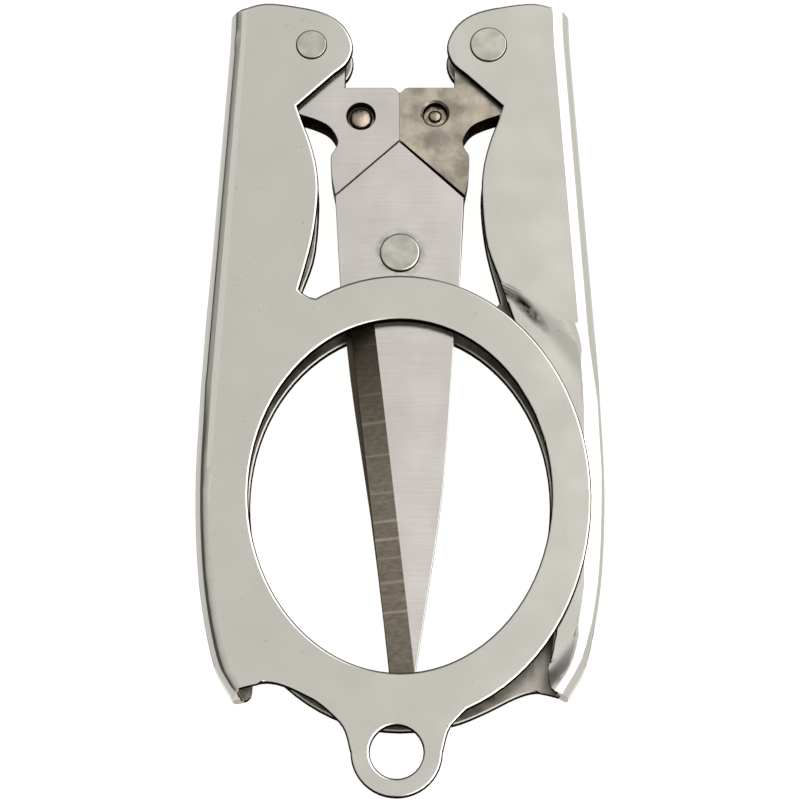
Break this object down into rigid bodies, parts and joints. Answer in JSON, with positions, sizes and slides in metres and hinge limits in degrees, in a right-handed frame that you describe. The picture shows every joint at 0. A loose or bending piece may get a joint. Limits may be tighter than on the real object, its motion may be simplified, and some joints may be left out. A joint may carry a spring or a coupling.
{
  "type": "folding pocket scissors",
  "caption": "Folding pocket scissors, folded flat: two lapped blades on a rivet, and two sheet-steel channel handles with oval finger rings.",
  "frame": {"origin": "centre of the folded part's outline, on the plane that its rear rivet heads lie on", "axes": "+Y from the keyring tab to the handle rivets, +Z out of the front face, +X to the right seen from the front"},
  "size_m": [0.0368, 0.0753, 0.0052],
  "materials": {
    "plated_sheet": "bright plated sheet steel, polished, with rounded edges",
    "ground_steel": "flat ground and lightly plated blade steel, with a darker ground bevel across the edge",
    "tumbled_steel": "darker tumbled steel with softened edges",
    "rivet_steel": "plated rivet heads with a softened rim"
  },
  "bodies": {
    "front_half": {"front_blade": "ground_steel", "pivot_rivet": "rivet_steel", "left_shank_pin": "tumbled_steel"},
    "rear_half": {"rear_blade": "tumbled_steel", "right_shank_pin": "tumbled_steel"},
    "left_handle": {"left_handle": "plated_sheet", "left_handle_rivet": "rivet_steel"},
    "right_handle": {"right_handle": "plated_sheet", "right_handle_rivet": "rivet_steel"}
  },
  "joints": [
    {"name": "left_handle_fold", "type": "hinge", "parent": "front_half", "child": "left_handle", "pos_m": [-0.00828, 0.03337, 0.0026], "axis": [0, 0, -1], "range_deg": [0, 175]},
    {"name": "right_handle_fold", "type": "hinge", "parent": "rear_half", "child": "right_handle", "pos_m": [0.00828, 0.03337, 0.0026], "axis": [0, 0, 1], "range_deg": [0, 175]},
    {"name": "blade_pivot", "type": "hinge", "parent": "front_half", "child": "rear_half", "pos_m": [0, 0.01314, 0.0026], "axis": [0, 0, -1], "range_deg": [0, 56]}
  ],
  "couplings": [
    {"joint": "right_handle_fold", "follows": "left_handle_fold", "ratio": 1},
    {"joint": "blade_pivot", "follows": "left_handle_fold", "ratio": 0.32}
  ]
}
